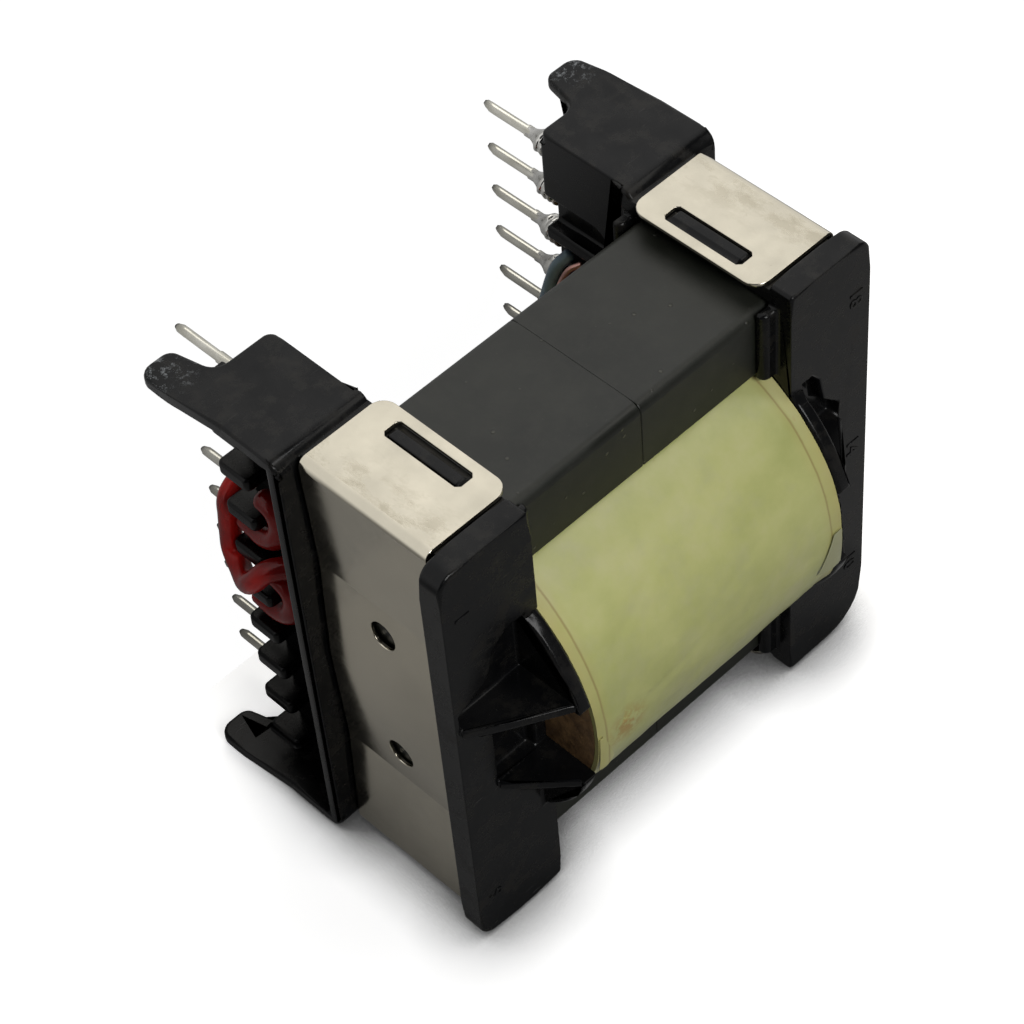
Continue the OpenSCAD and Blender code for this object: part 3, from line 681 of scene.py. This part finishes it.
def melted(name, shape, grain_mm, passes):
    """Fuses overlapping forms drawn in millimetres into one soft skin, in metres."""
    mesh = bpy.data.meshes.new(name + "_raw")
    bmesh.ops.recalc_face_normals(shape, faces=shape.faces)
    shape.to_mesh(mesh)
    shape.free()
    rough = bpy.data.objects.new(name + "_rough", mesh)
    bpy.context.scene.collection.objects.link(rough)
    fuse = rough.modifiers.new("fuse", "REMESH")
    fuse.mode = "VOXEL"
    fuse.voxel_size = grain_mm
    soften = rough.modifiers.new("soften", "SMOOTH")
    soften.factor = 0.5
    soften.iterations = passes
    skin = applied(name, rough)
    skin.transform(Matrix.Scale(MM, 4))
    skin.shade_smooth()
    return skin


PITCH = 5.08
ROW_X = pin_place(10).x / MM
BLOCK_Z = 4.5
BLOCK_H = 9.9
COIL_UNDER = tape_low.z / MM


def beside_block(points):
    """Left leads: out from the pin row and along it in pitches, then a share of the block's height."""
    return [(-ROW_X - x * PITCH, y * PITCH, BLOCK_Z + z * BLOCK_H) for x, y, z in points]


def under_coil(points):
    """Right leads: out from the pin row, along it and below the coil, all in pitches."""
    return [(ROW_X + x * PITCH, y * PITCH, COIL_UNDER - z * PITCH) for x, y, z in points]


# The leads take the same routes as their CAD solids
RED_RUN = [(-0.67, 1.97, 0.37), (-0.55, 1.99, 0.07), (-0.37, 1.87, -0.12), (-0.11, 1.65, -0.2),
           (0.28, 1.52, -0.25), (0.57, 1.3, -0.25), (0.63, 0.91, -0.25), (0.67, 0.49, -0.25),
           (0.73, 0.18, -0.22), (0.85, 0.02, -0.07), (1.03, 0.1, 0.13), (1.09, 0.43, 0.29),
           (0.95, 0.79, 0.43), (0.67, 0.85, 0.58), (0.56, 0.67, 0.66)]
RED_UPPER_ARCH = [(0.54, 1, -0.07), (0.56, 0.98, 0.07), (0.61, 1.04, 0.21), (0.63, 1.26, 0.38),
                  (0.57, 1.57, 0.43), (0.56, 1.89, 0.39), (0.56, 2.01, 0.25)]
RED_LOWER_ARCH = [(0.54, -1, -0.07), (0.56, -1, 0.07), (0.59, -0.94, 0.21), (0.61, -0.73, 0.38),
                  (0.57, -0.41, 0.43), (0.56, -0.12, 0.39), (0.56, 0, 0.25)]
SLEEVE_RUN = [(-1.37, 0.67, 0.22), (-0.94, 1.06, 0.37), (-0.7, 1.54, 0.39), (-0.59, 1.93, 0.3),
              (-0.43, 2.17, 0.16)]


def strand_run(n):
    return [(-1.26 - 0.16 * n, 1.02 + 0.06 * n, 0.08 - 0.06 * n),
            (-0.9, 1.38 + 0.07 * n, 0.14 - 0.12 * n), (-0.7, 1.77 + 0.04 * n, 0.1 - 0.15 * n),
            (-0.61, 2.07, -0.02 - 0.16 * n), (-0.47, 2.2, -0.18 - 0.16 * n)]


def lead_piece(name, runs, diameter, material, slot, node):
    shape = bmesh.new()
    for run in runs:
        add_tube(shape, smooth_path(run, 8), diameter / 2)
    add_piece(name, shape_in_mm(name, shape), material, slot, node)


lead_piece("red_leads_upper", (beside_block(RED_RUN), beside_block(RED_UPPER_ARCH)), 2.0, RED, "red_lead",
           "red_lead_upper")
lead_piece("red_leads_lower", (beside_block(RED_LOWER_ARCH),), 2.0, RED, "red_lead", "red_lead_lower")
lead_piece("sleeve_on_lead", (under_coil(SLEEVE_RUN),), 1.2, SLEEVE, "sleeve", "sleeved_lead")
lead_piece("bare_strands", [under_coil(strand_run(n)) for n in range(3)], 0.6, COPPER, "copper",
           "enamelled_leads")


# ---- solder and the ends of the windings on the right row ----

# In millimetres: the turns of wire on a pin, and the block's underside down to the first of them
TURN_R = 0.9
TURN_WIRE_R = 0.36
TURNS_H = 1.72
TURNS_BELOW = 0.42

# Radius in millimetres and share of the height of the cone in which the solder ends
CONE = ((0.47, 0.0), (0.49, 0.15), (0.54, 0.35), (0.64, 0.55), (0.8, 0.75), (1.02, 0.95))


def wound_on_pin(dice, x, y):
    """Points of a wire that takes a few turns round a pin, from the block down."""
    turns = 2.7 + 0.6 * dice.random()
    start = math.pi * (0.9 + 0.3 * dice.random())
    steps = int(turns * 14)
    return [(x + TURN_R * math.cos(start + 2 * math.pi * turns * k / steps),
             y + TURN_R * math.sin(start + 2 * math.pi * turns * k / steps),
             BLOCK_Z - TURNS_BELOW - TURNS_H * k / steps) for k in range(steps + 1)]


def solder_piece():
    """Turns of tinned lead on each right pin, run together by solder that ends in a cone."""
    dice = random.Random(11)
    shape = bmesh.new()
    for number in range(10, 19):
        place = pin_place(number) / MM
        wind = wound_on_pin(dice, place.x, place.y)
        add_tube(shape, [Vector(point) for point in wind], TURN_WIRE_R, 12)
        cone = 1.5 + 0.5 * dice.random()
        foot = BLOCK_Z - 2.35 - cone
        fill = 0.86 + 0.1 * dice.random()
        profile = [(wide, foot + share * cone) for wide, share in CONE]
        profile += [(1.1, foot + cone + 0.3), (1.0, foot + cone + 0.7), (fill, foot + cone + 1.0),
                    (fill, BLOCK_Z - 0.4), (0.7, BLOCK_Z - 0.12)]
        add_turned(shape, Vector((place.x, place.y, 0)), profile)
    add_piece("solder_on_pins", melted("solder_on_pins", shape, 0.09, 2), SOLDER, "solder", "solder_joints")


def winding_ends():
    """The wires that come down from the coil through the notches to the right pins."""
    dice = random.Random(5)
    shape = bmesh.new()
    coil_r = 15.2
    for number in range(11, 15):
        place = pin_place(number) / MM
        reach = 0.72 * place.y
        top = AXIS_Z / MM - math.sqrt(coil_r ** 2 - reach ** 2)
        aside = 0.9 * (dice.random() - 0.5)
        points = [(14.1, reach, top + 0.4), (14.75, 0.85 * place.y + 0.4 * aside, min(top, 10.5) - 1.2),
                  (15.6, place.y + aside, 6.2), (16.3, place.y + aside, 4.75),
                  (place.x - 0.92, place.y + 0.25, BLOCK_Z - TURNS_BELOW)]
        add_tube(shape, smooth_path(points, 8), 0.33, 14)
    add_piece("winding_ends", shape_in_mm("winding_ends", shape), COPPER, "copper")


solder_piece()
winding_ends()


# ---- pins with slanted cut ends ----

# In millimetres: half a shank's width and its bevel, the shank's ends, and where the round end starts
PIN_HALF = 0.45
PIN_BEVEL = 0.15
SHANK_TOP = 11.0
SHANK_FOOT = 0.35
ROUND_TOP = 0.2

# A pin's round end: height over its tip, share of its radius, and share of the slant
TIP = ((1.2, 1.0, 0.5), (0.62, 0.96, 0.5), (0.14, 0.55, 0.25), (0.03, 0.2, 0.0))


def pins_piece(name, numbers, slant):
    """Squared shanks that turn round over the board and end in a slanted cut."""
    shape = bmesh.new()
    half, bevel = PIN_HALF, PIN_BEVEL
    square = [(half, bevel - half), (half, half - bevel), (half - bevel, half), (bevel - half, half),
              (-half, half - bevel), (-half, bevel - half), (bevel - half, -half), (half - bevel, -half)]
    outline = []
    for (ax, ay), (bx, by) in zip(square, square[1:] + square[:1]):
        outline += [(ax + (bx - ax) * k / 4, ay + (by - ay) * k / 4) for k in range(4)]
    for number in numbers:
        place = pin_place(number) / MM
        rounds = [Vector((x, y, 0)).normalized() for x, y in outline]
        rings = [[Vector((x, y, height)) for x, y in outline] for height in (SHANK_TOP, SHANK_FOOT)]
        rings.append([point * half + Vector((0, 0, ROUND_TOP)) for point in rounds])
        for up, share, lean in TIP:
            rings.append([point * half * share + Vector((0, 0, place.z + up + lean * slant * point.x))
                          for point in rounds])
        bridge(shape, [[shape.verts.new(point + Vector((place.x, place.y, 0))) for point in ring]
                       for ring in rings])
    add_piece(name, shape_in_mm(name, shape), TINNED, "tin", *(f"pin_{number:02d}" for number in numbers))


pins_piece("pins_left", range(1, 10), 0.25)
pins_piece("pins_right", range(10, 19), -0.8)


# ---- the wrap of tape ----

WRAP_THICK = 0.44


def crease(angle, x, at_angle, at_x, turn, width, length):
    """Depth from 0 to 1 of one soft crease in the tape; lengths along the skin in millimetres."""
    across = (angle - at_angle) * TAPE_R / MM
    along = x - at_x
    u = along * math.cos(turn) + across * math.sin(turn)
    v = across * math.cos(turn) - along * math.sin(turn)
    return math.exp(-(v / width) ** 2 - (u / length) ** 2)


CREASES = (
    # angle from the top, place along the coil, turn, width, length, depth
    (0.52, -9.0, 0.5, 0.5, 5.0, 0.07), (0.32, 3.0, 0.35, 0.6, 6.0, 0.06), (0.62, 9.5, -0.4, 0.5, 3.5, 0.07),
    (0.05, -6.0, 0.2, 0.45, 3.5, 0.08), (-0.12, 2.0, 1.1, 0.4, 2.2, 0.12), (-0.18, 6.5, 0.9, 0.35, 2.0, 0.12),
    (-0.1, 10.0, 1.3, 0.4, 1.8, 0.12), (-0.2, -3.0, 1.0, 0.4, 2.4, 0.1), (0.0, -11.5, 1.4, 0.3, 2.5, 0.14),
    (-0.22, -8.0, 0.8, 0.4, 2.0, 0.1), (1.9, 4.0, 0.3, 0.6, 6.0, 0.07), (2.6, -5.0, -0.3, 0.6, 5.0, 0.08),
    (3.4, 5.0, 0.4, 0.5, 5.0, 0.07), (4.2, -2.0, 0.2, 0.6, 6.0, 0.07), (5.0, 6.0, -0.5, 0.5, 4.0, 0.08),
)


def tape_radius(angle, x):
    """Radius of the wrap's skin in millimetres at an angle from the top, towards +Y."""
    half = TAPE_HALF / MM
    place = Vector((math.sin(angle) * 3.2, math.cos(angle) * 3.2, 0.2 * x))
    skin = TAPE_R / MM - 0.1 + 0.07 * noise.noise(place) + 0.03 * noise.noise(place * 3.1)
    for at_angle, at_x, turn, width, length, depth in CREASES:
        skin -= depth * crease(angle, x, at_angle, at_x, turn, width, length)
    end = half - abs(x)
    curl = noise.noise(Vector((math.sin(angle) * 7, math.cos(angle) * 7, math.copysign(4, x))))
    skin += (0.1 + 0.1 * curl) * math.exp(-(end / 0.5) ** 2)
    return skin - 0.05 * math.exp(-((end - 1.15) / 0.22) ** 2)


def tape_piece():
    """The wrap round the coil: thin, slightly slack, with soft creases and lifted edges."""
    shape = bmesh.new()
    half = TAPE_HALF / MM
    centre = Vector((0, 0, AXIS_Z / MM))
    inner = TAPE_R / MM - WRAP_THICK
    columns, rows = 300, 110
    places = [-half + 2 * half * k / rows for k in range(rows + 1)]
    rings = []
    for x, fixed in [(half, inner), (-half, inner)] + [(x, None) for x in places]:
        ring = []
        for k in range(columns):
            angle = 2 * math.pi * k / columns
            wide = fixed or tape_radius(angle, x)
            ring.append(shape.verts.new(centre + Vector((x, wide * math.sin(angle), wide * math.cos(angle)))))
        rings.append(ring)
    bridge(shape, rings, closed=True)
    add_piece("tape_wrap", shape_in_mm("tape_wrap", shape), TAPE, "outer_tape", "outer_tape")


tape_piece()


def tape_flap(name, at_x, angles, width, lift, material):
    """A folded-over end of tape that stands a little off the wrap; angles and width go from end to end."""
    shape = bmesh.new()
    centre = Vector((0, 0, AXIS_Z / MM))
    count, across = 14, 6
    gap, thick = 0.03, 0.05
    layers = []
    for up in (0.0, thick):
        rows = []
        for k in range(count + 1):
            share = k / count
            angle = angles[0] + (angles[1] - angles[0]) * share
            wide = width[0] + (width[1] - width[0]) * share
            row = []
            for j in range(across + 1):
                x = at_x + wide * (j / across)
                rise = up + gap + lift * share ** 2 * math.sin(math.pi * (0.25 + 0.75 * j / across))
                r = TAPE_R / MM + rise
                row.append(shape.verts.new(centre + Vector((x, r * math.sin(angle), r * math.cos(angle)))))
            rows.append(row)
        layers.append(rows)
    low, high = layers
    for k in range(count):
        for j in range(across):
            shape.faces.new((high[k][j], high[k][j + 1], high[k + 1][j + 1], high[k + 1][j]))
            shape.faces.new((low[k][j], low[k + 1][j], low[k + 1][j + 1], low[k][j + 1]))
        shape.faces.new((low[k][0], high[k][0], high[k + 1][0], low[k + 1][0]))
        shape.faces.new((low[k][across], low[k + 1][across], high[k + 1][across], high[k][across]))
    for k in (0, count):
        for j in range(across):
            corner = (low[k][j], low[k][j + 1], high[k][j + 1], high[k][j])
            shape.faces.new(corner if k == 0 else tuple(reversed(corner)))
    add_piece(name, shape_in_mm(name, shape), material, "outer_tape")


tape_flap("tape_fold_right", 14.7, (0.05, -0.22), (-1.0, -2.6), 0.35, CLEAR_TAPE)
tape_flap("tape_fold_left", -14.7, (0.02, -0.26), (0.5, 2.0), 0.3, TAPE)


# ---- raised numbers on the number walls ----

NUMBER_SIZE = 2.1 * MM
NUMBER_HEIGHT = 0.05 * MM


def wall_number(text, x_mm, y_mm):
    """Plain raised pin number; it reads towards -Y with its top towards +X."""
    curve = bpy.data.curves.new("number_" + text, "FONT")
    curve.body = text
    curve.size = NUMBER_SIZE
    curve.extrude = NUMBER_HEIGHT
    curve.bevel_depth = 0.03 * MM
    curve.bevel_resolution = 1
    curve.resolution_u = 3
    curve.align_x = "CENTER"
    curve.align_y = "CENTER"
    raised = bpy.data.objects.new("number_rough", curve)
    bpy.context.scene.collection.objects.link(raised)
    mesh = applied("number_" + text, raised)
    mesh.transform(Matrix.Translation((x_mm * MM, y_mm * MM, WALL_Z)) @ Matrix.Rotation(-math.pi / 2, 4, "Z"))
    add_piece("number_" + text, mesh, BLACK, "former")


for text, x_mm, y_mm in (("1", -22.6, 18.6), ("9", -22.6, -19.2), ("18", 22.7, 18.4), ("14", 22.7, 0.0),
                         ("10", 22.7, -15.6)):
    wall_number(text, x_mm, y_mm)


# ---- floor, backdrop and light ----

# In metres: how near the part the ground darkens, the height at which the backdrop's shadow is full, the span
# in Y over which the mirrored floor comes up, and half the square of floor under the part that is partly clear
NEAR = 0.006
FULL_SHADOW_Z = 0.01
FLOOR_RISES = (-0.005, 0.03)
CLEAR_HALF = 0.03

# Share of the mirrored rays that pass through that square, and share of the glow left to them on the dim side
CLEAR_SHARE = 0.35
DIM_SHARE = 0.2


def white_ground(name, glow, takes, glow_in_gloss, shadow):
    """White made of a glow and of a share that takes light, clear from behind.

    Mirrored rays see less of it than the camera does: the glow fades towards -Y, darkens near the part and
    is partly clear under it, and with no glow_in_gloss they see none of the glow.
    """
    material = bpy.data.materials.new(name)
    material.use_nodes = True
    tree = material.node_tree
    shader = tree.nodes["Principled BSDF"]
    shader.inputs["Roughness"].default_value = 0.9
    shader.inputs["Specular IOR Level"].default_value = 0.0
    rays = add(tree, "ShaderNodeLightPath").outputs
    mirrored = math_node(tree, "MAXIMUM", rays["Is Glossy Ray"], rays["Is Transmission Ray"])
    place = axes(tree, add(tree, "ShaderNodeTexCoord").outputs["Object"])
    # Painted shade in reflections: mirrored rays see the floor's glow dim towards -Y
    fading = fade(tree, place["Y"], *FLOOR_RISES, DIM_SHARE * glow_in_gloss, glow_in_gloss)
    strength = math_node(tree, "MULTIPLY", mirrored, fading)
    strength = math_node(tree, "ADD", strength, math_node(tree, "MULTIPLY", rays["Is Camera Ray"], glow))
    # Painted shadow: an ambient occlusion node darkens the glow and colour near the part, on the backdrop for
    # the camera and on both sheets for mirrored rays
    open_air = add(tree, "ShaderNodeAmbientOcclusion", {"Distance": NEAR}, samples=4).outputs["AO"]
    closeness = ramp(tree, open_air, [(0.45, 0.95), (0.95, 0.0)])
    shaded = fade(tree, place["Z"], 0.0, FULL_SHADOW_Z, 0.0, shadow)
    closeness = math_node(tree, "MULTIPLY", closeness, math_node(tree, "MAXIMUM", mirrored, shaded))
    strength = math_node(tree, "MULTIPLY", strength, math_node(tree, "SUBTRACT", 1.0, closeness))
    shade = mix(tree, mirrored, (takes, takes, takes), (0.5 * takes, 0.5 * takes, 0.5 * takes))
    feed(tree, shader, base_color=mix(tree, closeness, shade, (0.0, 0.0, 0.0)))
    white = add(tree, "ShaderNodeEmission", {"Color": (1, 1, 1, 1), "Strength": strength}).outputs[0]
    both = add(tree, "ShaderNodeAddShader", {0: white, 1: shader.outputs[0]}).outputs[0]
    clear = add(tree, "ShaderNodeBsdfTransparent").outputs[0]
    unseen = math_node(tree, "MULTIPLY", mirrored, CLEAR_SHARE)
    for axis in ("X", "Y"):
        under = math_node(tree, "LESS_THAN", math_node(tree, "ABSOLUTE", place[axis]), CLEAR_HALF)
        unseen = math_node(tree, "MULTIPLY", unseen, under)
    back = add(tree, "ShaderNodeNewGeometry").outputs["Backfacing"]
    unseen = math_node(tree, "MAXIMUM", back, unseen)
    front = add(tree, "ShaderNodeMixShader", {0: unseen, 1: both, 2: clear}).outputs[0]
    tree.links.new(front, tree.nodes["Material Output"].inputs["Surface"])
    return material


def add_ground(name, corners, glow, takes, glow_in_gloss, shadow):
    """A white sheet that lights the part only in reflections, and casts no shadow."""
    mesh = bpy.data.meshes.new(name)
    mesh.from_pydata(corners, [], [(0, 1, 2, 3)])
    ground = bpy.data.objects.new(name, mesh)
    bpy.context.scene.collection.objects.link(ground)
    ground.data.materials.append(white_ground(name + "_white", glow, takes, glow_in_gloss, shadow))
    ground.visible_diffuse = False
    ground.visible_shadow = False


# Name, direction from the part, distance, size, power and colour of each lamp
MIDDLE = Vector((0, 0, 0.02))
WARM = (1.0, 0.975, 0.92)
LIGHTS = (
    ("front", (-0.1, 0.62, 0.75), 0.7, (0.3, 0.3), 3.0, (1, 1, 1)),
    ("key", (0.42, 0.86, -0.4), 0.8, (0.5, 0.5), 2.6, WARM),
    ("top", (0.5, 0.85, 0.35), 0.8, (0.4, 0.4), 1.0, WARM),
)
FAR = 3.0
BACKDROP_GAP = 0.0003


def studio():
    """A floor under the pins, a backdrop close behind the part, a dim world and soft lamps."""
    foot = cad_bounds[0][2]
    floor = [(-FAR, -FAR, foot), (FAR, -FAR, foot), (FAR, FAR, foot), (-FAR, FAR, foot)]
    add_ground("floor", floor, glow=0.99, takes=0.12, glow_in_gloss=1.0, shadow=0.0)
    back_y = cad_bounds[0][1] - BACKDROP_GAP
    wall = [(-FAR, back_y, foot), (-FAR, back_y, FAR), (FAR, back_y, FAR), (FAR, back_y, foot)]
    add_ground("backdrop", wall, glow=0.62, takes=0.75, glow_in_gloss=0.0, shadow=1.0)
    world = bpy.data.worlds.new("studio")
    world.use_nodes = True
    tree = world.node_tree
    white = add(tree, "ShaderNodeBackground", {"Color": (1, 1, 1, 1), "Strength": 1.0}).outputs[0]
    dim = tree.nodes["Background"]
    dim.inputs["Color"].default_value = (0.92, 0.95, 1.0, 1)
    dim.inputs["Strength"].default_value = 0.07
    seen = add(tree, "ShaderNodeLightPath").outputs["Is Camera Ray"]
    blend = add(tree, "ShaderNodeMixShader", {0: seen, 1: dim.outputs[0], 2: white}).outputs[0]
    tree.links.new(blend, tree.nodes["World Output"].inputs["Surface"])
    bpy.context.scene.world = world
    for name, direction, distance, size, power, colour in LIGHTS:
        add_area_light(name, MIDDLE + Vector(direction).normalized() * distance, MIDDLE, size, power, colour)


add_camera()
studio()
bpy.context.scene.view_settings.view_transform = "Standard"
